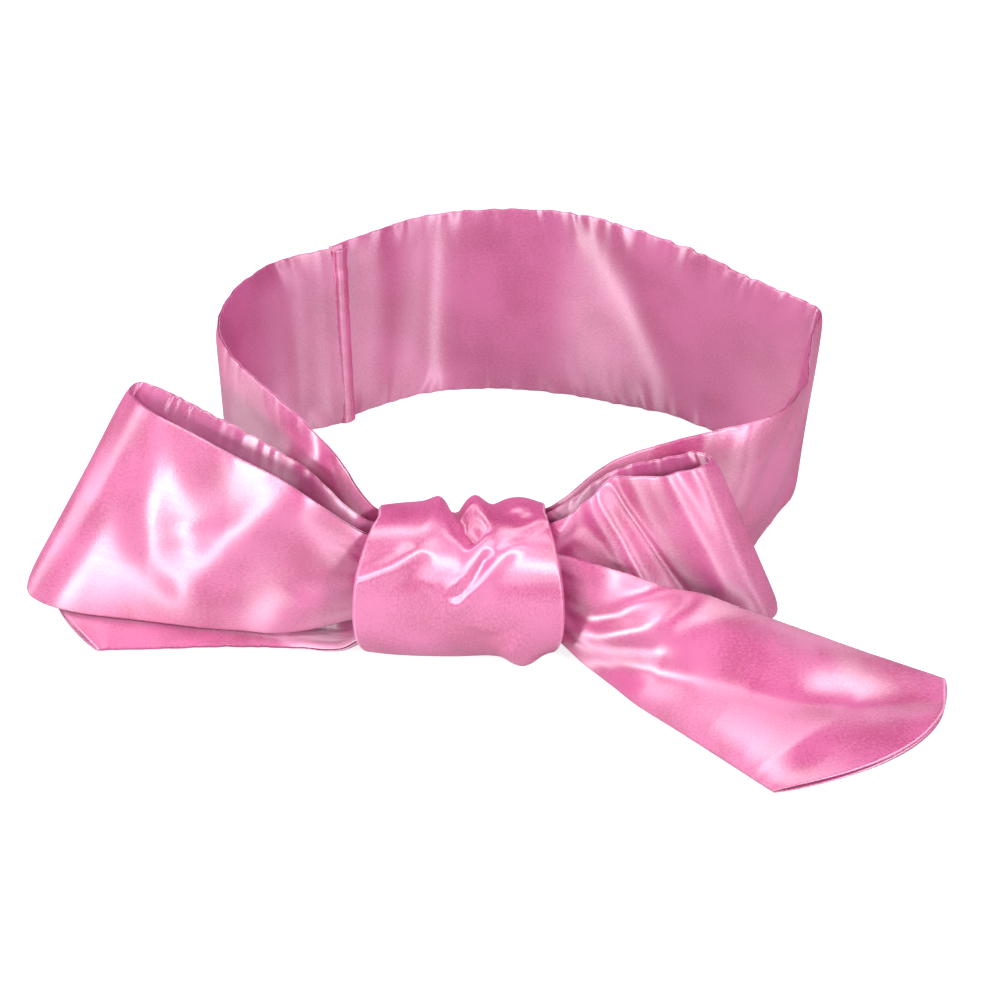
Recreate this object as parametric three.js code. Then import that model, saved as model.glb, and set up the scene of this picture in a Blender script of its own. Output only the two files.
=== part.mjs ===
// Sleep eye mask: a satin sash of two plies, tied in a bow in front of the head loop.
// Millimetres, +Z up. The loop stands on its lower edge, the bow faces -Y.
// The origin is the middle of the footprint, on the table.
import * as THREE from 'three';

// ---- driving dimensions ----
const PLY = 0.8;            // thickness of one ply of satin
const PLY_GAP = 1.7;        // air between the two plies, where the stitching runs
const THREAD = 0.6;         // thickness of the edge stitching
const STITCH_INSET = 0.06;  // stitching line, as a share of the sash width in from the edge
const LINING_INSET = 0.006; // lining edge, as a share of the width in from the outer ply's edge
const ALONG_STEP = 9;       // length of one facet along the sash
const ACROSS = 4;           // facets across the sash

const KNOT_Y = -29;         // middle of the knot, front to back
const KNOT_Z = 26.3;        // middle of the knot above the table
const KNOT_DEPTH = 23;      // half depth of the knot's wrap
const KNOT_HEIGHT = 26.2;   // half height of the knot's wrap
const FLAT_HALF = 9;        // half depth of the flat the knot stands on
const CORE_HALF = [10.5, 18, 20.5];
const CORE_X = -13;

const OUTER_NEAR = PLY_GAP / 2;
const OUTER_FAR = PLY_GAP / 2 + PLY;

const PINK = '#e38bb5';
const LINING_PINK = '#d97aa8';
const THREAD_PINK = '#c95f92';

// ---- the sash as stations: low edge, high edge, belly between them ----
const st = (low, high, belly = 0) => ({ low, high, belly });

const leftSide = [
  st([-33, -17, 10.5], [-33, -17, 42]),
  st([-41, -15, 9], [-41, -19, 48], 1),
  st([-54, -6, 7.5], [-53, -14, 65], 1),
  st([-67, 7, 1], [-65, -4, 73], 2),
  st([-79, 22, 0.3], [-78, 12, 75], 1),
  st([-89, 42, 0.3], [-89, 29, 75], 1),
  st([-94, 60, 0.3], [-95, 48, 75]),
  st([-92, 77, 0.3], [-94, 64, 75]),
  st([-85, 90, 0.3], [-89, 79, 75]),
  st([-74, 99, 0.1], [-78, 94, 75]),
  st([-60.5, 106, 0], [-61.5, 103.5, 75]),
];
const maskPanel = [
  st([-59.5, 107, 0], [-60.5, 104.3, 75]),
  st([-44, 118, 0], [-45, 116, 75]),
  st([-26, 127, 0], [-28, 127, 75]),
  st([-4, 130, 0], [-5, 132, 75]),
  st([20, 127, 0], [20, 131, 75]),
  st([44, 119, 0], [44, 120, 75]),
  st([68, 108, 0], [66, 104, 75]),
  st([87, 90, 0], [85, 84, 75]),
  st([99.6, 63.3, 0], [105, 65.8, 75]),
];
const rightSide = [
  st([100.6, 62, 0.1], [106, 64.5, 75]),
  st([103, 57, 0.3], [109, 60, 75]),
  st([98, 47, 0.5], [105.5, 46, 75]),
  st([91, 34, 0.5], [103, 31, 75]),
  st([84, 21, 0.5], [100, 11, 75], 1),
  st([75, 10, 0.5], [91, -4, 75]),
  st([62, -1, 0.5], [76, -12, 74.5]),
  st([46, -8, 1], [58, -16, 72], -1),
  st([30, -12, 4], [36, -16, 63], -1),
  st([17, -16, 9], [18, -18, 48]),
  st([8, -17, 10.5], [8, -17, 42]),
];
const leftLoop = [
  st([-33, -32.5, 15], [-33, -32.5, 44]),
  st([-44, -32.5, 14], [-44, -32.5, 47]),
  st([-66, -31, 7], [-64, -31, 63], 1),
  st([-91, -27, 4.5], [-84, -22, 69], 2),
  st([-119, -22, 4.5], [-103, -8, 71], 2),
  st([-142, -17, 4.5], [-116, 7, 70], 1),
  st([-157, -8, 4.5], [-122, 18, 69]),
  st([-158, 0, 5], [-119, 23, 69]),
  st([-145, 3, 6], [-110, 16, 70]),
  st([-121, -4, 7], [-98, 4, 71]),
  st([-93, -13, 8], [-81, -9, 69], 1),
  st([-66, -22, 9], [-62, -20, 63], 1),
  st([-44, -26, 14], [-44, -26, 48]),
  st([-33, -26, 15], [-33, -26, 45]),
];
const rightLoop = [
  st([8, -24.5, 11], [8, -24.5, 45]),
  st([21, -24.5, 8], [20, -25, 52]),
  st([44, -20, 5], [36, -25, 65], 1),
  st([67, -14, 4.5], [53, -24, 69.5], 1),
  st([84, -11, 4.5], [63, -23, 71]),
  st([92, -15, 4.5], [67, -26.5, 71]),
  st([89, -22, 4.5], [62, -31.5, 71]),
  st([71, -26, 4.5], [50, -33.5, 69.5], 1),
  st([46, -29, 5], [34, -32, 65], 1),
  st([21, -31, 8], [20, -31, 52]),
  st([8, -31, 11], [8, -31, 45]),
];
const leftTail = [
  st([-33, -37, 11.5], [-33, -25, 11.5], -3.5),
  st([-43, -38, 10], [-43, -25, 10], -3),
  st([-52, -38, 4.6], [-54, -18, 4.6], -2),
  st([-68, -34, 1.9], [-71, -8, 1.9]),
  st([-90, -33, 1.9], [-92, 13, 1.9]),
  st([-112, -34, 1.9], [-114, 27, 1.9]),
  st([-132, -35, 1.9], [-134, 37, 1.9]),
];
const rightTail = [
  st([8, -37.5, 11], [8, -37.5, 42]),
  st([17.5, -38, 9], [18, -38, 42]),
  st([28, -46, 2.4], [32, -40, 39], -2),
  st([44, -64, 1.9], [58, -40, 30], -4),
  st([62, -84, 1.9], [88, -42, 19], -4),
  st([76, -99, 1.9], [119, -45, 8], -3),
  st([84, -107, 1.9], [141, -49, 1.9], 0),
];
const LEFT_TIP = 19;   // how far each tail's curved end stands out past its corners
const RIGHT_TIP = 17;

// ---- surfaces ----
const vec = (p) => new THREE.Vector3(...p);

/** Smooth sash surface through its stations: along(u) 0..1, across(v) 0..1, lift off it. */
function sash(stations, { closed = false, tip = 0 } = {}) {
  const low = new THREE.CatmullRomCurve3(stations.map((s) => vec(s.low)), closed, 'centripetal');
  const high = new THREE.CatmullRomCurve3(stations.map((s) => vec(s.high)), closed, 'centripetal');
  const spans = closed ? stations.length : stations.length - 1;
  const bellyAt = (u) => {
    const at = Math.min(u * spans, spans - 1e-6);
    const i = Math.floor(at);
    const next = stations[(i + 1) % stations.length];
    return THREE.MathUtils.lerp(stations[i].belly, next.belly, at - i);
  };
  const flat = (u, v) => low.getPoint(u).lerp(high.getPoint(u), v);
  const facing = (u) => {
    const e = 0.004;
    const a = closed ? (u - e + 1) % 1 : Math.max(u - e, 0);
    const b = closed ? (u + e) % 1 : Math.min(u + e, 1);
    const run = flat(b, 0.5).sub(flat(a, 0.5));
    const rise = high.getPoint(u).sub(low.getPoint(u));
    return rise.cross(run).normalize();
  };
  const ends = flat(1, 0.5).sub(flat(0.97, 0.5)).setZ(0).normalize();
  const bulged = (u, v) => {
    const arch = 4 * v * (1 - v);
    const p = flat(u, v).addScaledVector(facing(u), bellyAt(u) * arch);
    return p.addScaledVector(ends, tip * arch * u ** 3);
  };
  const normal = (u, v) => {
    const e = 0.004;
    const a = closed ? (u - e + 1) % 1 : Math.max(u - e, 0);
    const b = closed ? (u + e) % 1 : Math.min(u + e, 1);
    const run = bulged(b, v).sub(bulged(a, v));
    const rise = bulged(u, Math.min(v + 0.02, 1)).sub(bulged(u, Math.max(v - 0.02, 0)));
    return rise.cross(run).normalize();
  };
  const length = Math.max(low.getLength(), high.getLength());
  return { length, closed, at: (u, v, lift) => bulged(u, v).addScaledVector(normal(u, v), lift) };
}

/** Solid between two lifts off a sash surface, over one span along and across it. */
function plySolid(surface, near, far, options = {}) {
  const { from = 0, to = 1, v0 = 0, v1 = 1, across = ACROSS, step = ALONG_STEP } = options;
  const { closed } = surface;
  const along = Math.max(3, Math.round((surface.length * (to - from)) / step));
  const rows = closed ? along : along + 1;
  const cols = across + 1;
  const verts = [];
  for (const lift of [near, far]) {
    for (let i = 0; i < rows; i++) {
      const u = from + ((to - from) * i) / along;
      for (let j = 0; j < cols; j++) {
        const v = v0 + ((v1 - v0) * j) / across;
        verts.push(surface.at(u, v, lift));
      }
    }
  }
  const id = (layer, i, j) => layer * rows * cols + (i % rows) * cols + j;
  const faces = [];
  const quad = (a, b, c, d) => faces.push([a, b, c], [a, c, d]);
  for (let i = 0; i < along; i++) {
    for (let j = 0; j < across; j++) {
      quad(id(1, i, j), id(1, i, j + 1), id(1, i + 1, j + 1), id(1, i + 1, j));
      quad(id(0, i, j), id(0, i + 1, j), id(0, i + 1, j + 1), id(0, i, j + 1));
    }
    quad(id(0, i, 0), id(1, i, 0), id(1, i + 1, 0), id(0, i + 1, 0));
    quad(id(0, i, across), id(0, i + 1, across), id(1, i + 1, across), id(1, i, across));
  }
  if (!closed) {
    for (let j = 0; j < across; j++) {
      quad(id(0, 0, j), id(0, 0, j + 1), id(1, 0, j + 1), id(1, 0, j));
      quad(id(0, along, j), id(1, along, j), id(1, along, j + 1), id(0, along, j + 1));
    }
  }
  return solid(verts, faces);
}

/** Square-section line of thread through a list of points, closed at both ends. */
function threadSolid(points, sides) {
  const half = THREAD / 2;
  const verts = [];
  points.forEach((p, i) => {
    const [x, y] = sides[i];
    for (const [a, b] of [[-1, -1], [1, -1], [1, 1], [-1, 1]]) {
      verts.push(p.clone().addScaledVector(x, a * half).addScaledVector(y, b * half));
    }
  });
  const faces = [[0, 1, 2], [0, 2, 3]];
  for (let i = 0; i + 1 < points.length; i++) {
    for (let k = 0; k < 4; k++) {
      const a = i * 4 + k;
      const b = i * 4 + ((k + 1) % 4);
      faces.push([a, a + 4, b + 4], [a, b + 4, b]);
    }
  }
  const n = (points.length - 1) * 4;
  faces.push([n, n + 2, n + 1], [n, n + 3, n + 2]);
  return solid(verts, faces);
}

/** Point between the plies at (u, v), on the flat facet the plies have there. */
function between(surface, u, v, lift) {
  const column = Math.min(Math.floor(v * ACROSS), ACROSS - 1);
  const here = surface.at(u, column / ACROSS, lift);
  return here.lerp(surface.at(u, (column + 1) / ACROSS, lift), v * ACROSS - column);
}

/** Thread along a path of (u, v) steps between the plies of a length of sash. */
function stitching(surface, path) {
  const points = path.map(([u, v]) => between(surface, u, v, 0));
  const sides = path.map(([u, v], i) => {
    const next = points[Math.min(i + 1, points.length - 1)];
    const back = points[Math.max(i - 1, 0)];
    const run = next.clone().sub(back).normalize();
    const up = between(surface, u, v, 1).sub(points[i]);
    up.addScaledVector(run, -up.dot(run)).normalize();
    return [run.clone().cross(up).normalize(), up];
  });
  return threadSolid(points, sides);
}

const lineAlong = (surface, v, from = 0.015, to = 0.985) => {
  const n = Math.max(4, Math.round(surface.length / ALONG_STEP));
  return Array.from({ length: n + 1 }, (_, i) => [from + ((to - from) * i) / n, v]);
};

/** Path down one edge, round the curved end and back up the other edge. */
const lineRound = (surface) => {
  const low = lineAlong(surface, STITCH_INSET, 0.015, 0.955);
  const end = [0.2, 0.35, 0.5, 0.65, 0.8].map((v) => [0.965, v]);
  const high = lineAlong(surface, 1 - STITCH_INSET, 0.015, 0.955).reverse();
  return [...low, ...end, ...high];
};

function solid(verts, faces) {
  const geometry = new THREE.BufferGeometry();
  const flat = verts.flatMap((v) => [v.x, v.y, v.z]);
  geometry.setAttribute('position', new THREE.Float32BufferAttribute(flat, 3));
  geometry.setIndex(faces.flat());
  if (volume(verts, faces) < 0) geometry.setIndex(faces.flatMap(([a, b, c]) => [a, c, b]));
  return geometry;
}

function volume(verts, faces) {
  return faces.reduce((sum, [a, b, c]) => sum + verts[a].dot(verts[b].clone().cross(verts[c])), 0) / 6;
}

// ---- sub-parts ----
function addNode(group, name, geometry, color, roughness = 0.36) {
  geometry.computeVertexNormals();
  const material = new THREE.MeshStandardMaterial({ color, roughness, metalness: 0 });
  material.name = name;
  const mesh = new THREE.Mesh(geometry, material);
  mesh.name = name;
  group.add(mesh);
}

/** Outer ply and lining of one length of sash. */
function addPlies(group, name, surface, side = 1) {
  const inset = { v0: LINING_INSET, v1: 1 - LINING_INSET };
  const outer = plySolid(surface, side * OUTER_NEAR, side * OUTER_FAR);
  const lining = plySolid(surface, -side * OUTER_NEAR, -side * OUTER_FAR, inset);
  addNode(group, `${name}_outer`, outer, PINK);
  addNode(group, `${name}_lining`, lining, LINING_PINK);
}

function addEdgeStitching(group, name, surface) {
  for (const [edge, v] of [['lower', STITCH_INSET], ['upper', 1 - STITCH_INSET]]) {
    addNode(group, `${name}_${edge}_stitching`, stitching(surface, lineAlong(surface, v)), THREAD_PINK, 0.6);
  }
}

/** Wide turn of sash round the knot, flat where it stands on the table. */
function knotStations(inward) {
  const turns = 20;
  return Array.from({ length: turns }, (_, i) => {
    const angle = -Math.PI / 2 - (i / turns) * 2 * Math.PI;
    const y = KNOT_Y + Math.cos(angle) * (KNOT_DEPTH - inward);
    const z = KNOT_Z + Math.sin(angle) * (KNOT_HEIGHT - inward);
    const front = Math.max(0, (KNOT_Y - y) / KNOT_DEPTH);
    const left = -39 - 8 * front;
    const right = 14.5 + 6 * front;
    return st([left, y, z], [right, y, z], 0);
  });
}

function addKnot(group) {
  const outer = sash(knotStations(PLY), { closed: true });
  const lining = sash(knotStations(PLY * 2 + 0.4), { closed: true });
  const size = { across: 3, step: 6 };
  const wrap = plySolid(outer, 0, PLY, size);
  const under = plySolid(lining, 0, PLY, { ...size, v0: 0.01, v1: 0.99 });
  addNode(group, 'knot_wrap_outer', flattenFoot(wrap, 0), PINK);
  addNode(group, 'knot_wrap_lining', flattenFoot(under, PLY + 0.3), LINING_PINK);
  const core = new THREE.SphereGeometry(1, 18, 12);
  core.scale(...CORE_HALF);
  core.translate(CORE_X, KNOT_Y, KNOT_Z);
  addNode(group, 'knot_crossed_turns', weld(core), LINING_PINK);
}

/** Press the lowest part of a turn flat, keeping its thickness. */
function flattenFoot(geometry, floor) {
  const p = geometry.attributes.position;
  for (let i = 0; i < p.count; i++) {
    const off = Math.abs(p.getY(i) - KNOT_Y);
    if (off > FLAT_HALF || p.getZ(i) > KNOT_Z) continue;
    const top = p.getZ(i) > floor + PLY * 0.75 + 0.45 * (off / FLAT_HALF) ** 2 * 4;
    p.setZ(i, top ? floor + PLY : floor);
  }
  return geometry;
}

function weld(geometry) {
  const p = geometry.attributes.position;
  const index = geometry.index.array;
  const seen = new Map();
  const verts = [];
  const id = (i) => {
    const key = [p.getX(i), p.getY(i), p.getZ(i)].map((c) => c.toFixed(4)).join();
    if (!seen.has(key)) {
      seen.set(key, verts.length);
      verts.push(new THREE.Vector3(p.getX(i), p.getY(i), p.getZ(i)));
    }
    return seen.get(key);
  };
  const faces = [];
  for (let i = 0; i < index.length; i += 3) {
    const f = [id(index[i]), id(index[i + 1]), id(index[i + 2])];
    if (new Set(f).size === 3) faces.push(f);
  }
  return solid(verts, faces);
}

/** Folded end of the left side lying over the panel's end, with its row of stitches. */
function addLappedJoin(group, panel) {
  const fold = { from: 0.005, to: 0.035, v0: 0.01, v1: 0.99, step: 3 };
  addNode(group, 'left_join_fold', plySolid(panel, -OUTER_FAR - 0.35 - PLY, -OUTER_FAR - 0.35, fold), PINK);
  const row = Array.from({ length: 9 }, (_, i) => [0.02, 0.08 + 0.105 * i]);
  addNode(group, 'left_join_stitching', stitching(panel, row), THREAD_PINK, 0.6);
}

// ---- the whole mask ----
const mask = new THREE.Group();
mask.name = 'sleep_eye_mask';

const lengths = {
  left_side: sash(leftSide),
  mask_panel: sash(maskPanel),
  right_side: sash(rightSide),
  left_loop: sash(leftLoop),
  right_loop: sash(rightLoop),
};
for (const [name, surface] of Object.entries(lengths)) {
  addPlies(mask, name, surface);
  addEdgeStitching(mask, name, surface);
}
const tails = {
  left_tail: sash(leftTail, { tip: LEFT_TIP }),
  right_tail: sash(rightTail, { tip: RIGHT_TIP }),
};
for (const [name, surface] of Object.entries(tails)) {
  addPlies(mask, name, surface, name === 'right_tail' ? -1 : 1);
  addNode(mask, `${name}_stitching`, stitching(surface, lineRound(surface)), THREAD_PINK, 0.6);
}
addKnot(mask);
addLappedJoin(mask, lengths.mask_panel);

const box = new THREE.Box3().setFromObject(mask);
const centre = box.getCenter(new THREE.Vector3());
mask.children.forEach((m) => m.geometry.translate(-centre.x, -centre.y, -box.min.z));

export default mask;
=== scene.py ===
"""Satin sash eye mask, tied in a bow: the fabric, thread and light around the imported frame."""

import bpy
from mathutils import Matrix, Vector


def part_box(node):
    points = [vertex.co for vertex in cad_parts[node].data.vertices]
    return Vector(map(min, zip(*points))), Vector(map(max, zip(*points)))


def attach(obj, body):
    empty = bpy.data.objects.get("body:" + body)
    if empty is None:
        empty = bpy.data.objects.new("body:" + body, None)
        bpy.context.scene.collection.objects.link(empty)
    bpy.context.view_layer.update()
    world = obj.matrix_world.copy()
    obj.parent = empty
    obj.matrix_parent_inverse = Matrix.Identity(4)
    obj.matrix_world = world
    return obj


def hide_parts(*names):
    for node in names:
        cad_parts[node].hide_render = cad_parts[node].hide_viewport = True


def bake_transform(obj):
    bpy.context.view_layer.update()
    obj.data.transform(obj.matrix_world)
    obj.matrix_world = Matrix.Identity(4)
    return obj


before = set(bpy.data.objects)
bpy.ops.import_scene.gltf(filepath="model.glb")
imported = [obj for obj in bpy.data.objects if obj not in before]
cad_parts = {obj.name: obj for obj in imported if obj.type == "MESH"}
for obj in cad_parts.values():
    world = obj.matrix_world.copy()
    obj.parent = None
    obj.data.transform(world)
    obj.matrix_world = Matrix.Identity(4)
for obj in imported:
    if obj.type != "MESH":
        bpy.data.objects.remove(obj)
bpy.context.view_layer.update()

import math

import bmesh
import bpy
import numpy as np
from mathutils import Vector

bl_info = {
    "name": "Satin Sash Eye Mask",
    "version": (1, 0, 0),
    "blender": (4, 5, 0),
    "location": "View3D > Sidebar > Sash Mask",
    "description": "Builds a satin sash eye mask tied in a bow, piece by piece",
    "category": "Object",
}

# ---- where things are: the middle of the head loop's table line, found from the knot ----
KNOT_LOW, KNOT_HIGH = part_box("knot_wrap_outer")
HOME = np.array([(KNOT_LOW.x + KNOT_HIGH.x) / 2 + 0.01325, (KNOT_LOW.y + KNOT_HIGH.y) / 2 + 0.029, 0.0])
MM = 0.001
SASH_WIDTH = 75.0

# ---- the sash as stations, in millimetres from HOME: low edge, high edge, belly between ----
LEFT_SIDE = [
    ([-33, -17, 10.5], [-33, -17, 42], 0),
    ([-41, -15, 9], [-41, -19, 48], 1),
    ([-54, -6, 7.5], [-53, -14, 65], 1),
    ([-67, 7, 1], [-65, -4, 73], 2),
    ([-79, 22, 0.3], [-78, 12, 75], 1),
    ([-89, 42, 0.3], [-89, 29, 75], 1),
    ([-94, 60, 0.3], [-95, 48, 75], 0),
    ([-92, 77, 0.3], [-94, 64, 75], 0),
    ([-85, 90, 0.3], [-89, 79, 75], 0),
    ([-74, 99, 0.1], [-78, 94, 75], 0),
    ([-60.3, 105.2, 0], [-61.3, 102.6, 75], 0),
    ([-54.6, 108.6, 0], [-55.4, 106.2, 75], 0),
]
PANEL_AND_RIGHT_SIDE = [
    ([-59.5, 107, 0], [-60.5, 104.3, 75], 0),
    ([-44, 118, 0], [-45, 116, 75], 0),
    ([-26, 127, 0], [-28, 127, 75], 0),
    ([-4, 130, 0], [-5, 132, 75], 0),
    ([20, 127, 0], [20, 131, 75], 0),
    ([44, 119, 0], [44, 120, 75], 0),
    ([68, 108, 0], [66, 104, 75], 0),
    ([87, 90, 0], [85, 84, 75], 0),
    ([99.6, 63.3, 0], [105.5, 65, 75], 0),
    ([103, 57, 0.3], [109, 60, 75], 0),
    ([98, 47, 0.5], [105.5, 46, 75], 0),
    ([91, 34, 0.5], [103, 31, 75], 0),
    ([84, 21, 0.5], [100, 11, 75], 1),
    ([75, 10, 0.5], [91, -4, 75], 0),
    ([62, -1, 0.5], [76, -12, 74.5], 0),
    ([46, -8, 1], [58, -16, 72], -1),
    ([30, -12, 4], [36, -16, 63], -1),
    ([17, -16, 9], [18, -18, 48], 0),
    ([8, -17, 10.5], [8, -17, 42], 0),
]
LEFT_LOOP = [
    ([-33, -32.5, 15], [-33, -32.5, 44], 0),
    ([-44, -32.5, 14], [-44, -32.5, 47], 0),
    ([-66, -31, 7], [-64, -31, 63], 1),
    ([-91, -27, 4.5], [-84, -22, 69], 2),
    ([-119, -22, 4.5], [-103, -8, 71], 2),
    ([-142, -17, 4.5], [-116, 7, 70], 1),
    ([-157, -8, 4.5], [-122, 18, 69], 0),
    ([-158, 0, 5], [-119, 23, 69], 0),
    ([-145, 3, 6], [-110, 16, 70], 0),
    ([-121, -4, 7], [-98, 4, 71], 0),
    ([-93, -13, 8], [-81, -9, 69], 1),
    ([-66, -22, 9], [-62, -20, 63], 1),
    ([-44, -26, 14], [-44, -26, 48], 0),
    ([-33, -26, 15], [-33, -26, 45], 0),
]
RIGHT_LOOP = [
    ([8, -24.5, 11], [8, -24.5, 45], 0),
    ([21, -24.5, 8], [20, -25, 52], 0),
    ([44, -20, 5], [36, -25, 65], 1),
    ([67, -14, 4.5], [53, -24, 69.5], 1),
    ([84, -11, 4.5], [63, -23, 71], 0),
    ([92, -15, 4.5], [67, -26.5, 71], 0),
    ([89, -22, 4.5], [62, -31.5, 71], 0),
    ([71, -26, 4.5], [50, -33.5, 69.5], 1),
    ([46, -29, 5], [34, -32, 65], 1),
    ([21, -31, 8], [20, -31, 52], 0),
    ([8, -31, 11], [8, -31, 45], 0),
]
LEFT_TAIL = [
    ([-33, -37, 11.5], [-33, -25, 11.5], -3.5),
    ([-43, -38, 10], [-43, -25, 10], -3),
    ([-52, -38, 4.6], [-54, -18, 4.6], -2),
    ([-68, -34, 1.9], [-71, -8, 1.9], 0),
    ([-90, -33, 1.9], [-92, 13, 1.9], 0),
    ([-112, -34, 1.9], [-114, 27, 1.9], 0),
    ([-132, -35, 1.9], [-134, 37, 1.9], 0),
]
RIGHT_TAIL = [
    ([8, -37.5, 11], [8, -37.5, 42], 0),
    ([17.5, -38, 9], [18, -38, 42], 0),
    ([28, -46, 2.4], [32, -40, 39], -2),
    ([44, -64, 1.9], [58, -40, 30], -4),
    ([62, -84, 1.9], [88, -42, 19], -4),
    ([76, -99, 1.9], [119, -45, 8], -3),
    ([84, -107, 1.9], [144, -50, 1.9], 0),
]

# ---- folds laid into each length: points (mm along, mm across), half width mm, height mm ----
FOLDS = {
    "left_side": [
        ([(24, 70), (40, 60), (58, 40)], 5, 1.6),
        ([(20, 44), (44, 38), (70, 20)], 6, 1.4),
        ([(150, 74), (148, 40), (146, 2)], 9, -1.2),
    ],
    "panel_and_right_side": [
        ([(18, 76), (17, 36), (15, 0)], 8, -1.0),
        ([(44, 76), (43, 39), (43, 0)], 9, 0.7),
        ([(71, 76), (70, 38), (70, 0)], 10, -0.8),
        ([(92, 80), (114, 45), (138, -4)], 13, 1.8),
        ([(128, 76), (140, 40), (156, 10)], 12, -1.0),
        ([(196, 40), (198, 20), (199, -2)], 4, 0.8),
        ([(246, 76), (256, 52), (262, 20)], 7, -2.0),
        ([(278, 76), (272, 56), (268, 30)], 7, 1.8),
        ([(230, 70), (236, 40), (240, 6)], 8, 1.0),
    ],
    "left_loop": [
        ([(102, 96), (103, 40), (110, -14)], 7.5, 1.3),
        ([(96, 90), (91, 62), (87, 44), (79, 28), (66, 16), (50, 6)], 8.0, 1.5),
        ([(74, 2), (64, 20), (57, 36), (46, 52), (32, 68), (20, 86)], 8.0, 1.7),
        ([(82, 80), (72, 56), (64, 40)], 12, -0.8),
        ([(44, 2), (34, 22), (24, 38), (12, 58)], 6.0, 0.7),
        ([(46, -6), (36, 10), (24, 24), (10, 38)], 6.5, 0.9),
        ([(34, 18), (24, 36), (14, 52)], 6.0, -1.1),
        ([(190, 10), (206, 36), (220, 60)], 9, 1.2),
    ],
    "right_loop": [
        ([(146, 52), (138, 68), (132, 80)], 4.5, 1.8),
        ([(127, 84), (123, 66), (118, 50), (115, 34), (112, 16)], 4.2, 2.6),
        ([(118, 86), (113, 60), (108, 42), (103, 20), (100, 0)], 6.0, -4.0),
        ([(97, 86), (94, 60), (92, 40), (91, 8)], 5.0, 1.9),
        ([(83, 86), (84, 40), (85, -4)], 5.0, 0.9),
        ([(142, 50), (135, 30), (130, 6)], 6.0, 1.4),
    ],
    "left_tail": [
        ([(20, 60), (60, 50), (112, 44)], 7, 1.2),
        ([(80, 20), (106, 26), (126, 40)], 8, 1.0),
    ],
    "right_tail": [
        ([(46, 92), (39, 68), (31, 49), (20, 32), (8, 20)], 7.5, 2.3),
        ([(58, 84), (52, 62), (42, 44), (28, 28), (12, 14)], 6.5, -1.6),
        ([(4, 2), (22, 20), (38, 32), (54, 40)], 5.0, 1.5),
        ([(10, -10), (30, 8), (46, 20), (62, 28), (80, 32), (96, 38), (110, 48), (120, 62), (126, 82)],
         10.0, 3.4),
        ([(36, 44), (54, 54), (72, 56), (92, 56), (104, 66)], 10.0, -1.3),
        ([(36, 0), (62, 8), (92, 12), (118, 20)], 10.0, -1.2),
    ],
}

# how much each sewn edge puckers: (mm along, low edge, high edge)
PUCKERS = {
    "left_side": [(0, 0.1, 0.15), (60, 0.2, 0.25), (90, 0.35, 0.3), (170, 0.35, 0.3)],
    "panel_and_right_side": [(0, 0.35, 0.25), (40, 0.4, 0.3), (80, 0.5, 0.6), (170, 0.6, 0.65),
                             (205, 0.2, 0.3), (343, 0.1, 0.1)],
    "left_loop": [(0, 0.03, 0.04), (108, 0.03, 0.05), (122, 0.2, 0.4), (180, 0.2, 0.45), (238, 0.1, 0.2)],
    "right_loop": [(0, 0.2, 0.3), (66, 0.2, 0.5), (78, 0.1, 0.15), (92, 0.03, 0.05), (151, 0.03, 0.05)],
    "left_tail": [(0, 0.1, 0.1), (130, 0.2, 0.2)],
    "right_tail": [(0, 0.03, 0.03), (134, 0.05, 0.05)],
}

# knot folds: points (degrees round from the foot up the front, mm from the left edge)
KNOT_FOLDS = [
    ([(108, -14), (120, 1), (130, 11), (143, 18), (165, 19), (200, 19.5), (250, 19)], 4.0, 2.2),
    ([(250, 24), (208, 24), (186, 25.5), (166, 30), (154, 35), (148, 38)], 3.0, -5.2),
    ([(250, 31), (210, 31), (190, 32), (168, 36), (152, 38), (140, 37), (120, 34.5), (98, 29)], 3.1, 2.1),
    ([(240, 37), (212, 37), (192, 39), (180, 42), (172, 48), (168, 56)], 3.4, -1.3),
    ([(92, 26), (106, 35), (122, 41), (138, 45), (156, 53)], 3.2, 1.5),
    ([(104, 31), (122, 37.6), (144, 42)], 1.9, -1.7),
    ([(240, 46), (205, 47), (180, 50), (160, 56)], 7.5, 1.8),
    ([(16, 52), (38, 52), (54, 51), (78, 47)], 5.0, 3.6),
    ([(70, 6), (88, 18), (102, 24), (112, 27)], 7.0, -0.7),
    ([(30, 30), (60, 38), (84, 42)], 9.0, -0.8),
]
DEGREE = 0.43          # millimetres round the knot for each degree


# ---- sizes and colours a maker would change ----
class SashSizes(bpy.types.PropertyGroup):
    """Sizes of the cloth and thread."""
    cloth: bpy.props.FloatProperty(
        name="Cloth thickness", description="Thickness of one ply of satin",
        default=0.0003, unit="LENGTH")
    seam_half_gap: bpy.props.FloatProperty(
        name="Seam half gap", description="Half the air between the plies along the sewn edge",
        default=0.00024, unit="LENGTH")
    middle_half_gap: bpy.props.FloatProperty(
        name="Middle half gap", description="Half the air between the plies away from the edges",
        default=0.00125, unit="LENGTH")
    pucker: bpy.props.FloatProperty(
        name="Pucker", description="How far the seam's puckers stand out of the cloth",
        default=0.00085, unit="LENGTH")
    scallop: bpy.props.FloatProperty(
        name="Scallop", description="How far the sewn edge wanders in and out",
        default=0.0007, unit="LENGTH")
    step: bpy.props.FloatProperty(
        name="Step", description="Distance between points along the cloth",
        default=0.00095, unit="LENGTH")
    columns: bpy.props.IntProperty(
        name="Columns", description="Faces across the cloth", default=52)
    thread: bpy.props.FloatProperty(
        name="Thread", description="Thickness of the sewing thread", default=0.0006, unit="LENGTH")


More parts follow.
